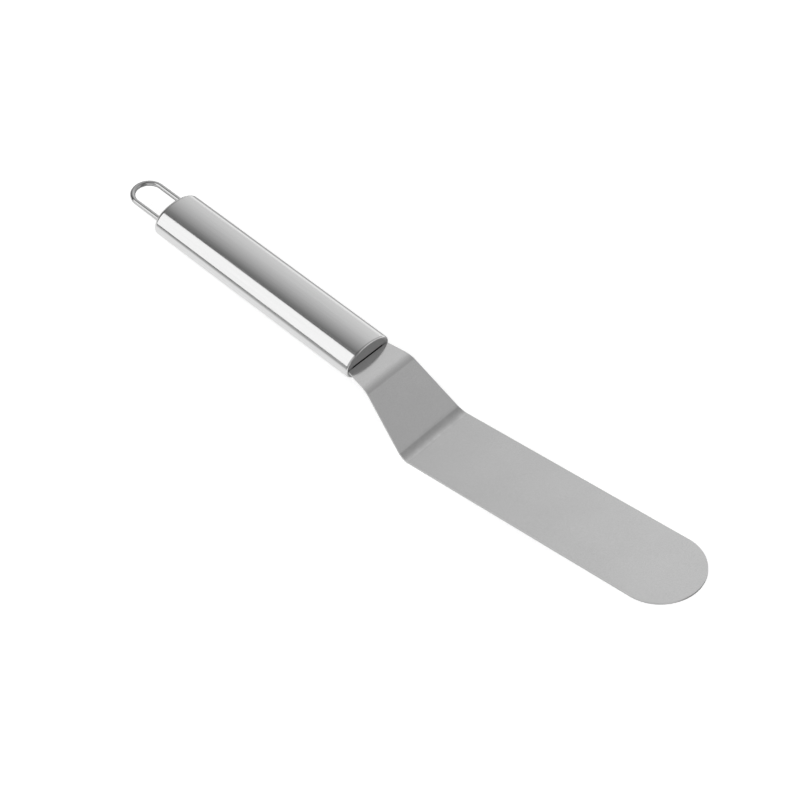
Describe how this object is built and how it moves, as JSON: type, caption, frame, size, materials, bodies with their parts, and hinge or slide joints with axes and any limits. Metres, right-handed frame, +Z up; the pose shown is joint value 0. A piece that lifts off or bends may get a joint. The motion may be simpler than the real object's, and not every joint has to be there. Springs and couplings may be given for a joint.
{
  "type": "icing spatula",
  "caption": "Offset icing spatula: cranked round-tipped steel blade, hollow oval steel handle and a wire hanging loop.",
  "frame": {"origin": "on the table, under the middle of the spatula's box, with the spatula lying on its blade heel and handle end", "axes": "+X along the spatula from the hanging loop to the blade's tip, +Y across the blade, +Z up"},
  "size_m": [0.3034, 0.0354, 0.0327],
  "materials": {
    "satin_steel": "stainless sheet, tumbled to a fine satin",
    "polished_steel": "stainless tube, polished bright",
    "stamped_steel": "stainless disc, stamped and left plain",
    "polished_wire": "drawn stainless wire, bright",
    "weld_steel": "weld bead, dull"
  },
  "bodies": {
    "root": {"blade": "satin_steel", "handle_tube": "polished_steel", "front_end_plate": "stamped_steel", "rear_end_plate": "stamped_steel", "hanging_loop": "polished_wire", "tang_weld_upper": "weld_steel", "tang_weld_lower": "weld_steel", "loop_weld_left": "weld_steel", "loop_weld_right": "weld_steel"}
  },
  "joints": []
}
